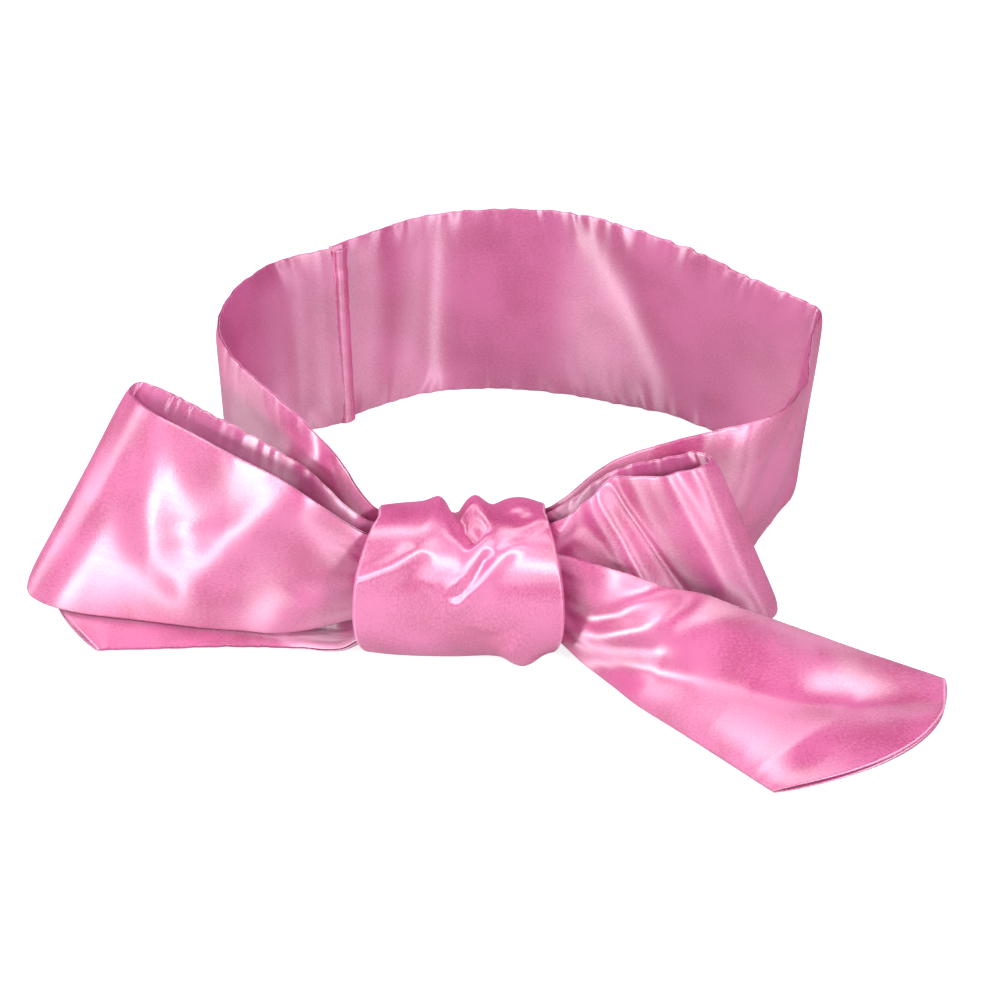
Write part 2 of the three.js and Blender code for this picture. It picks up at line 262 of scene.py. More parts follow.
class SatinColours(bpy.types.PropertyGroup):
    """Colours of the satin, the thread and the table."""
    satin: bpy.props.FloatVectorProperty(
        name="Satin", description="Face of the satin", subtype="COLOR", size=3, default=(0.62, 0.094, 0.290))
    satin_deep: bpy.props.FloatVectorProperty(
        name="Deep satin", description="Satin where the weave is denser", subtype="COLOR", size=3,
        default=(0.46, 0.036, 0.165))
    lining: bpy.props.FloatVectorProperty(
        name="Lining", description="Face of the lining ply", subtype="COLOR", size=3,
        default=(0.54, 0.085, 0.265))
    lining_deep: bpy.props.FloatVectorProperty(
        name="Deep lining", description="Lining where the weave is denser", subtype="COLOR", size=3,
        default=(0.42, 0.040, 0.170))
    thread: bpy.props.FloatVectorProperty(
        name="Thread", description="Sewing thread", subtype="COLOR", size=3, default=(0.52, 0.10, 0.24))
    table: bpy.props.FloatVectorProperty(
        name="Table", description="Plain pale table", subtype="COLOR", size=3, default=(0.62, 0.62, 0.62))


# ---- curves and surfaces ----
def smooth_path(points, at):
    """Centripetal curve through the points; at runs 0..1, each span an equal share of it."""
    p = np.asarray(points, float)
    spans = len(p) - 1
    ends = np.vstack([2 * p[0] - p[1], p, 2 * p[-1] - p[-2]])
    x = np.clip(at, 0, 1) * spans
    i = np.minimum(x.astype(int), spans - 1)
    t = (x - i)[:, None]
    p0, p1, p2, p3 = ends[i], ends[i + 1], ends[i + 2], ends[i + 3]
    pairs = ((p0, p1), (p1, p2), (p2, p3))
    d0, d1, d2 = (np.linalg.norm(b - a, axis=1, keepdims=True) ** 0.5 for a, b in pairs)
    m1 = ((p1 - p0) / d0 - (p2 - p0) / (d0 + d1) + (p2 - p1) / d1) * d1
    m2 = ((p2 - p1) / d1 - (p3 - p1) / (d1 + d2) + (p3 - p2) / d2) * d1
    cubic = 2 * p1 - 2 * p2 + m1 + m2
    return p1 + m1 * t + (-3 * p1 + 3 * p2 - 2 * m1 - m2) * t ** 2 + cubic * t ** 3


def unit(a):
    return a / np.maximum(np.linalg.norm(a, axis=-1, keepdims=True), 1e-9)


def across_spread(columns):
    """Shares across the cloth, closer together near both sewn edges."""
    v = np.linspace(0, 1, columns + 1)
    return 0.45 * v + 0.55 * (1 - np.cos(math.pi * v)) / 2


def cloth_surface(stations, step, columns, tip=0.0):
    """Points and facings of a length's middle surface, with mm along and mm across."""
    low, high = [s[0] for s in stations], [s[1] for s in stations]
    belly = np.array([s[2] for s in stations], float)
    fine = np.linspace(0, 1, 1600)
    middle = (smooth_path(low, fine) + smooth_path(high, fine)) / 2
    run = np.concatenate([[0], np.cumsum(np.linalg.norm(np.diff(middle, axis=0), axis=1))])
    count = max(12, round(run[-1] / step))
    u = np.interp(np.linspace(0, run[-1], count + 1), run, fine)
    v = across_spread(columns)
    lows, highs = smooth_path(low, u), smooth_path(high, u)
    centre = (lows + highs) / 2
    facing = unit(np.cross(highs - lows, np.gradient(centre, axis=0)))
    arch = 4 * v * (1 - v)
    bellies = np.interp(u * (len(belly) - 1), np.arange(len(belly)), belly)
    out = centre[-1] - middle[np.searchsorted(fine, 0.97)]
    out = unit(out * [1, 1, 0])
    points = lows[:, None] * (1 - v)[None, :, None] + highs[:, None] * v[None, :, None]
    points = points + facing[:, None] * (bellies[:, None] * arch[None])[..., None]
    points = points + out * (tip * arch[None] * u[:, None] ** 3)[..., None]
    along = np.interp(u, fine, run)
    if tip:
        along = along[:, None] + (tip * arch[None] * u[:, None] ** 3)
    else:
        along = np.repeat(along[:, None], columns + 1, axis=1)
    across = np.repeat(v[None] * SASH_WIDTH, count + 1, axis=0)
    return points, surface_facing(points), along, across


def surface_facing(points):
    return unit(np.cross(np.gradient(points, axis=1), np.gradient(points, axis=0)))


# ---- shapes pressed into the cloth, all in millimetres ----
def wander(s, seed, pitch):
    """Uneven wave along the seam, about one crest for each pitch."""
    a = 2 * math.pi * s / pitch
    slow = np.sin(a * 0.173 + seed) + 0.6 * np.sin(a * 0.071 + 2.3 * seed)
    wave = 0.62 * np.sin(a + 1.5 * slow + seed) + 0.30 * np.sin(a * 1.63 + 1.1 * slow + 3.1 * seed)
    return (wave + 0.22 * np.sin(a * 0.47 + 5.2 * seed)) * (0.75 + 0.25 * np.sin(a * 0.11 + 1.7 * seed))


def seam_puckers(s, d, seed, height):
    """Short wrinkles running in from a sewn edge, leaning with the seam."""
    lean = 0.25 * np.sin(s / 23 + seed)
    near = wander(s + lean * d, seed, 7.8) * np.exp(-((d / 5.0) ** 1.4))
    far = wander(s + 2 * lean * d, seed + 1.9, 14.5) * np.exp(-((d / 8.0) ** 1.8))
    return height * (0.8 * near + 0.8 * far)


def fold_height(s, w, path, half_width, height):
    """Rounded ridge along a path of points on the cloth, fading at both ends."""
    nearest = np.full(s.shape, 1e9)
    share = np.zeros(s.shape)
    path = [np.array(p, float) for p in path]
    for k, (a, b) in enumerate(zip(path, path[1:])):
        edge = b - a
        t = np.clip(((s - a[0]) * edge[0] + (w - a[1]) * edge[1]) / (edge @ edge), 0, 1)
        gap = np.hypot(s - a[0] - t * edge[0], w - a[1] - t * edge[1])
        closer = gap < nearest
        nearest = np.where(closer, gap, nearest)
        share = np.where(closer, (k + t) / (len(path) - 1), share)
    fade = np.clip(share / 0.18, 0, 1) * np.clip((1 - share) / 0.18, 0, 1)
    fade = fade * fade * (3 - 2 * fade)
    return height * fade * np.exp(-((nearest / half_width) ** 2))


def gathers(s, w, mouth, reach, seed, height):
    """Pleats fanning out of the knot, deepest at its mouth."""
    far = np.abs(s - mouth)
    bend = w + 3.0 * np.sin(far / 17 + seed)
    pleat = np.sin(bend * 2 * math.pi / 15.5 + seed) + 0.55 * np.sin(bend * 2 * math.pi / 9.1 + 2.7 * seed)
    inside = np.clip(far / 14, 0.45, 1)
    return height * pleat * inside * np.exp(-((far / reach) ** 1.6))


def soft_drape(s, w, seed):
    """Broad, shallow unevenness of cloth that isn't stretched."""
    a = np.sin(s / 19 + 0.03 * w + seed) * np.sin(w / 21 + 1.3 * seed)
    b = np.sin(s / 11.3 - w / 15.7 + 2.1 * seed) * 0.45
    return 0.5 * (a + b)


def cloth_relief(name, s, w, seed, sizes, gathered):
    """Height of the cloth off its smooth middle surface, and the shift of its sewn edges."""
    total = s.max()
    low, high = w, SASH_WIDTH - w
    pucker = sizes.pucker / MM
    share = np.array(PUCKERS[name], float)
    low_share, high_share = (np.interp(s, share[:, 0], share[:, k]) for k in (1, 2))
    relief = low_share * seam_puckers(s, low, seed, pucker)
    relief = relief + high_share * seam_puckers(s, high, seed + 4.1, pucker)
    for mouth in gathered:
        relief = relief + gathers(s, w, mouth * total, 22, seed + mouth, 0.24)
    for path, half_width, height in FOLDS.get(name, []):
        relief = relief + fold_height(s, w, path, half_width, height)
    relief = relief + 0.6 * soft_drape(s, w, seed)
    shift = low_share * wander(s, seed + 0.8, 7.9) * np.exp(-low / 7)
    shift = shift - high_share * wander(s, seed + 2.9, 8.3) * np.exp(-high / 7)
    return relief, shift * sizes.scallop / MM, np.where(low < high, low_share, high_share)


# ---- meshes ----
def grid_mesh(name, points, uv):
    """Mesh of a grid of points (rows along, columns across) with its own cloth coordinates."""
    rows, columns = points.shape[0] - 1, points.shape[1] - 1
    sheet = bmesh.new()
    sheet.loops.layers.uv.new("cloth")
    bmesh.ops.create_grid(sheet, x_segments=rows, y_segments=columns, size=0.5, calc_uvs=True)
    mesh = bpy.data.meshes.new(name)
    sheet.to_mesh(mesh)
    sheet.free()
    flat = np.empty(len(mesh.vertices) * 3)
    mesh.vertices.foreach_get("co", flat)
    flat = flat.reshape(-1, 3)
    i = np.rint((flat[:, 0] + 0.5) * rows).astype(int)
    j = np.rint((flat[:, 1] + 0.5) * columns).astype(int)
    mesh.vertices.foreach_set("co", points[i, j].ravel())
    corner = np.empty(len(mesh.loops), dtype=int)
    mesh.loops.foreach_get("vertex_index", corner)
    mesh.uv_layers.active.data.foreach_set("uv", uv[i, j][corner].ravel())
    mesh.update()
    return mesh


def finish_mesh(mesh, close=False):
    """Merge a closed strip's ends, point the faces outward and shade them smooth."""
    shape = bmesh.new()
    shape.from_mesh(mesh)
    if close:
        bmesh.ops.remove_doubles(shape, verts=shape.verts[:], dist=1e-6)
        bmesh.ops.recalc_face_normals(shape, faces=shape.faces[:])
    shape.normal_update()
    for face in shape.faces:
        face.smooth = True
    shape.to_mesh(mesh)
    shape.free()
    mesh.update()


def place_piece(name, mesh, material):
    piece = bpy.data.objects.new(name, mesh)
    bpy.context.scene.collection.objects.link(piece)
    mesh.materials.append(material)
    return piece


def give_thickness(piece, thickness):
    wall = piece.modifiers.new("cloth thickness", "SOLIDIFY")
    wall.thickness = thickness
    wall.offset = 0.0
    wall.use_rim = True
    wall.use_even_offset = False


def thread_mesh(name, centre, facing, radius):
    """Round thread through a row of points, closed at both ends."""
    run = unit(np.gradient(centre, axis=0))
    side = unit(np.cross(run, facing))
    up = np.cross(side, run)
    sides = 8
    turn = np.linspace(0, 2 * math.pi, sides + 1)
    ring = side[:, None] * np.cos(turn)[None, :, None] + up[:, None] * np.sin(turn)[None, :, None]
    size = np.full(len(centre), radius)
    size[0] = size[-1] = radius * 0.05
    points = centre[:, None] + ring * size[:, None, None]
    length = np.concatenate([[0], np.cumsum(np.linalg.norm(np.diff(centre, axis=0), axis=1))])
    uv = np.stack(np.broadcast_arrays(length[:, None], turn[None] * radius), axis=-1)
    mesh = grid_mesh(name, points, uv)
    shape = bmesh.new()
    shape.from_mesh(mesh)
    bmesh.ops.remove_doubles(shape, verts=shape.verts[:], dist=1e-7)
    bmesh.ops.holes_fill(shape, edges=shape.edges[:], sides=0)
    bmesh.ops.recalc_face_normals(shape, faces=shape.faces[:])
    for face in shape.faces:
        face.smooth = True
    shape.to_mesh(mesh)
    shape.free()
    return mesh


# ---- one length of sash: its two plies and its edge stitching ----
CLOTH_CLEAR = 0.0003          # least height of cloth and of thread above the table, in metres
THREAD_CLEAR = 0.0006
TABLE_EASE = 0.0012           # height over which cloth eases down to the table
STITCH_INSET = 0.06           # stitching line, as a share of the sash width in from the edge
PANEL_SEED = 2.9              # sets the panel's own wrinkles, shared by the join


def above_table(points, least=CLOTH_CLEAR):
    points = points.copy()
    low = points[..., 2]
    eased = least + TABLE_EASE * np.exp((low - least - TABLE_EASE) / TABLE_EASE)
    lift = np.where(low < least + TABLE_EASE, eased, low)
    points[..., 2] = np.maximum(lift, least)
    return points


def half_gap(s, w, seed, sizes, share):
    """Half the air between the plies: small at the sewn edges, uneven where they pucker."""
    edge = np.minimum(w, SASH_WIDTH - w)
    seam, middle = sizes.seam_half_gap / MM, sizes.middle_half_gap / MM
    rise = 1 - np.exp(-edge / 3.0)
    pillow = 0.3 * share * wander(s, seed + 6.0, 8.8) * np.exp(-edge / 5.0) * rise
    return seam + (middle - seam) * rise + pillow


def lay_length(name, stations, seed, body, swing, nodes, gathered=(), tip=0.0, outer_side=1):
    """Make the two plies and the stitching of one length, and hide the frame parts they stand for."""
    scene = bpy.context.scene
    sizes = scene.sash_sizes
    columns = sizes.columns
    step = sizes.step / MM * 1
    points, facing, s, w = cloth_surface(stations, step, columns, tip)
    relief, shift, share = cloth_relief(name, s, w, seed, sizes, gathered)
    rise = unit(np.gradient(points, axis=1))
    middle = points + facing * relief[..., None] + rise * shift[..., None]
    facing = surface_facing(middle)
    gap = half_gap(s, w, seed, sizes, share)
    uv = np.stack([s, w], axis=-1) * MM
    for ply, side in (("outer", outer_side), ("lining", -outer_side)):
        lifted = middle + facing * (side * gap)[..., None]
        world = above_table(lifted * MM + HOME)
        mesh = grid_mesh(f"{name}_{ply}", world, uv)
        finish_mesh(mesh)
        turn_faces(mesh, world, facing * side)
        piece = place_piece(f"{name}_{ply}_cloth", mesh, bpy.data.materials[f"satin {ply}"])
        give_thickness(piece, sizes.cloth)
        carry(piece, body, swing)
        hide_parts(*[n for n in nodes if n.endswith(f"_{ply}")])
    sew_edges(name, middle, facing, w, body, swing, nodes, round_end=bool(tip))


def turn_faces(mesh, world, away):
    """Turn the faces over if they point against the given outward directions."""
    row, column = world.shape[0] // 2, world.shape[1] // 2
    want = Vector(away[row, column])
    spot = Vector(world[row, column])
    nearest = min(mesh.polygons, key=lambda face: (face.center - spot).length_squared)
    if nearest.normal.dot(want) < 0:
        mesh.flip_normals()


def carry(piece, body, swing):
    """Ride on one body when no swing is given; otherwise only bake the piece's placement into its mesh."""
    if swing is None:
        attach(piece, body)
        return
    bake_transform(piece)


def sew_edges(name, middle, facing, w, body, swing, nodes, round_end):
    """Lines of stitching between the plies, a little inside the sewn edges."""
    scene = bpy.context.scene
    inset = STITCH_INSET * SASH_WIDTH
    rows = slice(3, -3)
    column = int(np.argmin(np.abs(w[0] - inset)))
    last = middle.shape[1] - 1
    lines = {}
    if round_end:
        end = -6
        low, high = middle[3:end, column], middle[3:end, last - column][::-1]
        arc = middle[end, column + 2:last - column - 1]
        low_f, high_f = facing[3:end, column], facing[3:end, last - column][::-1]
        arc_f = facing[end, column + 2:last - column - 1]
        lines["stitching"] = (np.vstack([low, arc, high]), np.vstack([low_f, arc_f, high_f]))
    else:
        lines["lower_stitching"] = (middle[rows, column], facing[rows, column])
        lines["upper_stitching"] = (middle[rows, last - column], facing[rows, last - column])
    for label, (path, up) in lines.items():
        centre = above_table(path * MM + HOME, THREAD_CLEAR)
        mesh = thread_mesh(f"{name}_{label}", centre, up, scene.sash_sizes.thread / 2)
        piece = place_piece(f"{name}_{label}_thread", mesh, bpy.data.materials["sewing thread"])
        carry(piece, body, swing)
        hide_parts(*[n for n in nodes if n.endswith(label)])


def nodes_of(*starts):
    return [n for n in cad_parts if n.startswith(starts)]


# ---- operators ----
class SASH_OT_materials(bpy.types.Operator):
    """Mix the satin, lining, thread and table materials"""
    bl_idname = "sash.materials"
    bl_label = "Satin and thread"

    def execute(self, context):
        colours = context.scene.satin_colours
        satin_material("satin outer", colours.satin, colours.satin_deep)
        satin_material("satin lining", colours.lining, colours.lining_deep)
        thread_material("sewing thread", colours.thread)
        table_material("plain table", colours.table)
        return {"FINISHED"}


class SASH_OT_head_loop(bpy.types.Operator):
    """Lay the panel and the two sides of the head loop"""
    bl_idname = "sash.head_loop"
    bl_label = "Head loop"

    def execute(self, context):
        lay_length("left_side", LEFT_SIDE, 1.3, "head_loop", None, nodes_of("left_side"), gathered=(0,))
        lay_length("panel_and_right_side", PANEL_AND_RIGHT_SIDE, PANEL_SEED, "head_loop", None,
                   nodes_of("mask_panel", "right_side"), gathered=(1,))
        return {"FINISHED"}


class SASH_OT_lapped_join(bpy.types.Operator):
    """Fold the left side's end over the panel and stitch it down"""
    bl_idname = "sash.lapped_join"
    bl_label = "Lapped join"

    def execute(self, context):
        lap_join(context.scene)
        return {"FINISHED"}


class SASH_OT_bow_loops(bpy.types.Operator):
    """Lay the two loops of the bow"""
    bl_idname = "sash.bow_loops"
    bl_label = "Bow loops"

    def execute(self, context):
        lay_length("left_loop", LEFT_LOOP, 0.7, "left_bow_loop", ((-38, -29.5, 30), (-60, -29.5, 30)),
                   nodes_of("left_loop"), gathered=(0, 1))
        lay_length("right_loop", RIGHT_LOOP, 3.6, "right_bow_loop", ((13, -27.5, 30), (33, -27.5, 30)),
                   nodes_of("right_loop"), gathered=(0, 1))
        return {"FINISHED"}


class SASH_OT_bow_tails(bpy.types.Operator):
    """Lay the two tails of the bow, with their curved ends"""
    bl_idname = "sash.bow_tails"
    bl_label = "Bow tails"

    def execute(self, context):
        # the left tail is too narrow under the loop to hold a full width of cloth: its area is
        # 0.55 of the cut's, under the 0.7 that a sheet needs, so it isn't declared as one
        lay_length("left_tail", LEFT_TAIL, 5.1, "left_bow_tail", ((-39, -31, 5), (-58, -31, 5)),
                   nodes_of("left_tail"), gathered=(0,), tip=19)
        lay_length("right_tail", RIGHT_TAIL, 4.4, "right_bow_tail", ((13, -38, 25), (30, -46, 25)),
                   nodes_of("right_tail"), gathered=(0,), tip=17, outer_side=-1)
        return {"FINISHED"}


class SASH_OT_knot(bpy.types.Operator):
    """Wrap the knot and fill it with the crossed turns"""
    bl_idname = "sash.knot"
    bl_label = "Knot"

    def execute(self, context):
        wrap_knot(context.scene)
        fill_knot()
        return {"FINISHED"}


class SASH_OT_stage(bpy.types.Operator):
    """Set the pale table, the soft lights and the camera"""
    bl_idname = "sash.stage"
    bl_label = "Table, lights and camera"

    def execute(self, context):
        set_table()
        set_lights(context.scene)
        set_camera(context.scene)
        return {"FINISHED"}


STEPS = (SASH_OT_materials, SASH_OT_head_loop, SASH_OT_lapped_join, SASH_OT_bow_loops, SASH_OT_bow_tails,
         SASH_OT_knot, SASH_OT_stage)


class SASH_PT_panel(bpy.types.Panel):
    """Sizes, colours and steps of the sash mask"""
    bl_idname = "SASH_PT_panel"
    bl_label = "Sash Mask"
    bl_space_type = "VIEW_3D"
    bl_region_type = "UI"
    bl_category = "Sash Mask"

    def draw(self, context):
        for group in (context.scene.sash_sizes, context.scene.satin_colours):
            for key in group.__annotations__:
                self.layout.prop(group, key)
        for step in STEPS:
            self.layout.operator(step.bl_idname)


# ---- knot ----
KNOT_MIDDLE = np.array([0.0, -29.0, 26.3])
KNOT_HALF = (23.0, 26.2)      # half depth and half height of the wrap
LIP = 1.2                     # radius of the rolled edge of the wrap
LIP_SHARE = 0.12              # share of the wrap's width that rolls round the edge
TUCK_SHARE = 0.22             # share of the width from the edge to the end of the tuck inside
TUCK_REACH = 50               # millimetres the tuck runs inwards per unit of that share
WRAP_LEFT = (-39, -47)        # left edge of the wrap, at its back and at its front
WRAP_RIGHT = (14.5, 20.5)     # right edge, at its back and at its front
FOOT_DEGREES = 8              # the wrap is smooth this far round from where it stands
FOOT_EASE = 20                # degrees over which its folds fade in
LINING_DEPTH = 1.9            # the lining turn lies this far inside the outer one


def knot_surface(inward, rows, columns):
    """Closed sleeve round the knot: points, uv in metres; rows go up the front and down the back."""
    turn = np.linspace(0, 360, rows + 1)
    t = np.linspace(-TUCK_SHARE, 1 + TUCK_SHARE, columns + 1)
    a = np.radians(-90 - turn)
    cos, sin = np.cos(a), np.sin(a)
    depth, height = KNOT_HALF[0] - inward, KNOT_HALF[1] - inward
    y = KNOT_MIDDLE[1] + cos * depth
    front = np.clip((KNOT_MIDDLE[1] - y) / KNOT_HALF[0], 0, 1)
    left = WRAP_LEFT[0] + (WRAP_LEFT[1] - WRAP_LEFT[0]) * front
    right = WRAP_RIGHT[0] + (WRAP_RIGHT[1] - WRAP_RIGHT[0]) * front
    inner = np.clip(t, 0, 1)
    past = np.maximum(-t, 0) + np.maximum(t - 1, 0)
    roll = np.minimum(past / LIP_SHARE, 1) * math.pi
    tuck = np.maximum(past - LIP_SHARE, 0) * TUCK_REACH
    x = left[:, None] + LIP + (right - left - 2 * LIP)[:, None] * inner[None]
    sign = np.where(t < 0.5, -1, 1)
    x = x + (sign * LIP * np.sin(roll))[None] - (sign * tuck)[None]
    drop = LIP * (1 - np.cos(roll)) + 0.25 * tuck + 1.4 * np.abs(2 * inner - 1) ** 3
    w = inner[None] * (right - left)[:, None]
    s = np.repeat(turn[:, None], columns + 1, axis=1)
    bulge = 0.2 * soft_drape(s * DEGREE, w, 2.2)
    for path, half_width, height_mm in KNOT_FOLDS:
        path = [(degrees * DEGREE, across) for degrees, across in path]
        bulge = bulge + fold_height(s * DEGREE, w, path, half_width, height_mm)
    clear_of_foot = np.clip((np.minimum(turn, 360 - turn) - FOOT_DEGREES) / FOOT_EASE, 0, 1)
    bulge = bulge * clear_of_foot[:, None]
    out = bulge - drop[None]
    py = y[:, None] + cos[:, None] * out
    pz = (KNOT_MIDDLE[2] + sin * height)[:, None] + sin[:, None] * out
    points = np.stack([x, py, pz], axis=-1)
    points[-1] = points[0]
    uv = np.stack([s * DEGREE, w], axis=-1) * MM
    return points, uv


def wrap_knot(scene):
    sizes = scene.sash_sizes
    rows, columns = ((200, 92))
    for ply, inward in (("outer", 0.0), ("lining", LINING_DEPTH)):
        points, uv = knot_surface(inward, rows, columns)
        world = above_table(points * MM + HOME, 0.0004 + inward * MM * 0.7)
        world[-1] = world[0]
        mesh = grid_mesh(f"knot_wrap_{ply}", world, uv)
        finish_mesh(mesh, close=True)
        middle = Vector(KNOT_MIDDLE * MM + HOME)
        face_out(mesh, middle)
        piece = place_piece(f"knot_wrap_{ply}_cloth", mesh, bpy.data.materials[f"satin {ply}"])
        give_thickness(piece, sizes.cloth)
        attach(piece, "head_loop")
        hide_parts(f"knot_wrap_{ply}")


def face_out(mesh, middle):
    """Turn the sleeve's faces over if its front doesn't face away from the middle."""
    front = [f for f in mesh.polygons if abs(f.center.x - middle.x) < 0.03]
    agree = sum(f.normal.y * (f.center.y - middle.y) + f.normal.z * (f.center.z - middle.z) for f in front)
    if agree < 0:
        mesh.flip_normals()


def fill_knot():
    """The two lengths twisted round each other inside the wrap."""
    shape = bmesh.new()
    shape.loops.layers.uv.new("cloth")
    bmesh.ops.create_uvsphere(shape, u_segments=64, v_segments=40, radius=1.0, calc_uvs=True)
    low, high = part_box("knot_crossed_turns")
    middle, half = (low + high) / 2, (high - low) / 2
    for v in shape.verts:
        angle = math.atan2(v.co.z, v.co.y)
        twist = 1 + 0.05 * math.sin(3 * angle + 2.4 * v.co.x) * (1 - v.co.x ** 2)
        v.co = Vector((v.co.x * half.x, v.co.y * half.y * twist, v.co.z * half.z * twist)) * 0.97 + middle
    for face in shape.faces:
        face.smooth = True
    bmesh.ops.recalc_face_normals(shape, faces=shape.faces[:])
    mesh = bpy.data.meshes.new("knot_crossed_turns")
    shape.to_mesh(mesh)
    shape.free()
    piece = place_piece("knot_crossed_turns_cloth", mesh, bpy.data.materials["satin lining"])
    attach(piece, "head_loop")
    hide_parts("knot_crossed_turns")


# ---- lapped join ----
JOIN_STEP = 0.5               # millimetres between the join's rows
JOIN_ROWS = 13                # rows over which the end is turned back
JOIN_STITCH_ROW = 5           # the row that is stitched down


def lap_join(scene):
    """Folded end of the left side, lying on the panel's inner face, with its row of stitches."""
    sizes = scene.sash_sizes
    points, facing, s, w = cloth_surface(PANEL_AND_RIGHT_SIDE, JOIN_STEP, 90)
    relief, shift, _ = cloth_relief("panel_and_right_side", s, w, PANEL_SEED, sizes, (1,))
    rise = unit(np.gradient(points, axis=1))
    middle = points + facing * relief[..., None] + rise * shift[..., None]
    facing = surface_facing(middle)
    strip, up = middle[:JOIN_ROWS, 1:-1], facing[:JOIN_ROWS, 1:-1]
    ss, ww = s[:JOIN_ROWS, 1:-1], w[:JOIN_ROWS, 1:-1]
    across = np.linspace(0, 1, JOIN_ROWS)[:, None]
    crown = np.sin(math.pi * np.clip(across * 1.02, 0, 1)) ** 0.6
    lift = 1.75 + 1.5 * crown + 0.25 * wander(ww, 1.4, 9.0)
    crease = strip - up * lift[..., None]
    world = above_table(crease * MM + HOME)
    mesh = grid_mesh("left_join_fold", world, np.stack([ss, ww], axis=-1) * MM)
    finish_mesh(mesh)
    turn_faces(mesh, world, -up)
    piece = place_piece("left_join_fold_cloth", mesh, bpy.data.materials["satin outer"])
    give_thickness(piece, sizes.cloth)
    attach(piece, "head_loop")
    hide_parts("left_join_fold")
    inside = slice(6, -6)
    centre = above_table(middle[JOIN_STITCH_ROW, inside] * MM + HOME, THREAD_CLEAR)
    outward = facing[JOIN_STITCH_ROW, inside]
    mesh = thread_mesh("left_join_stitching", centre, outward, sizes.thread / 2)
    piece = place_piece("left_join_stitching_thread", mesh, bpy.data.materials["sewing thread"])
    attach(piece, "head_loop")
    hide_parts("left_join_stitching")


# ---- materials ----
def group_tree(name, inputs, outputs):
    tree = bpy.data.node_groups.new(name, "ShaderNodeTree")
    for label, kind, default in inputs:
        socket = tree.interface.new_socket(name=label, in_out="INPUT", socket_type=kind)
        if default is not None:
            socket.default_value = default
    for label, kind in outputs:
        tree.interface.new_socket(name=label, in_out="OUTPUT", socket_type=kind)
    return tree, tree.nodes.new("NodeGroupInput"), tree.nodes.new("NodeGroupOutput")


def add_node(tree, kind, **values):
    node = tree.nodes.new(kind)
    for key, value in values.items():
        setattr(node, key, value)
    return node


SATIN_ROUGHNESS = 0.41
THREAD_GRAIN = 1500.0         # threads, slubs and clouds of shade to each metre of cloth
SLUB_GRAIN = 420.0
CLOUD_GRAIN = 38.0


def satin_weave_group():
    """Fine threads running along the cloth: a height, a roughness and a shade mask."""
    name = "satin weave"
    if name in bpy.data.node_groups:
        return bpy.data.node_groups[name]
    inputs = [("Cloth", "NodeSocketVector", None), ("Roughness", "NodeSocketFloat", SATIN_ROUGHNESS)]
    outputs = [("Height", "NodeSocketFloat"), ("Roughness", "NodeSocketFloat"), ("Shade", "NodeSocketFloat")]
    tree, given, result = group_tree(name, inputs, outputs)
    link = tree.links.new

    def stretched(along, across, scale, detail):
        place = add_node(tree, "ShaderNodeMapping")
        place.inputs["Scale"].default_value = (along, across, 1.0)
        link(given.outputs["Cloth"], place.inputs["Vector"])
        noise = add_node(tree, "ShaderNodeTexNoise")
        noise.inputs["Scale"].default_value = scale
        noise.inputs["Detail"].default_value = detail
        noise.inputs["Roughness"].default_value = 0.5
        link(place.outputs["Vector"], noise.inputs["Vector"])
        return noise.outputs["Fac"]

    threads = stretched(0.6, 1.0, THREAD_GRAIN, 1.0)
    slubs = stretched(0.18, 1.0, SLUB_GRAIN, 2.0)
    cloudy = stretched(1.0, 1.0, CLOUD_GRAIN, 2.0)
    height = add_node(tree, "ShaderNodeMath", operation="MULTIPLY_ADD")
    height.inputs[1].default_value = 0.35
    link(slubs, height.inputs[0])
    link(threads, height.inputs[2])
    link(height.outputs[0], result.inputs["Height"])
    rough = add_node(tree, "ShaderNodeMath", operation="MULTIPLY_ADD")
    rough.inputs[1].default_value = 0.10
    link(slubs, rough.inputs[0])
    link(given.outputs["Roughness"], rough.inputs[2])
    link(rough.outputs[0], result.inputs["Roughness"])
    shade = add_node(tree, "ShaderNodeMath", operation="MULTIPLY_ADD")
    shade.inputs[1].default_value = 0.8
    link(threads, shade.inputs[0])
    link(cloudy, shade.inputs[2])
    link(shade.outputs[0], result.inputs["Shade"])
    return tree


def new_material(name):
    material = bpy.data.materials.new(name)
    material.use_nodes = True
    material.node_tree.nodes.clear()
    tree = material.node_tree
    shader = tree.nodes.new("ShaderNodeBsdfPrincipled")
    output = tree.nodes.new("ShaderNodeOutputMaterial")
    tree.links.new(shader.outputs[0], output.inputs["Surface"])
    return material, tree, shader


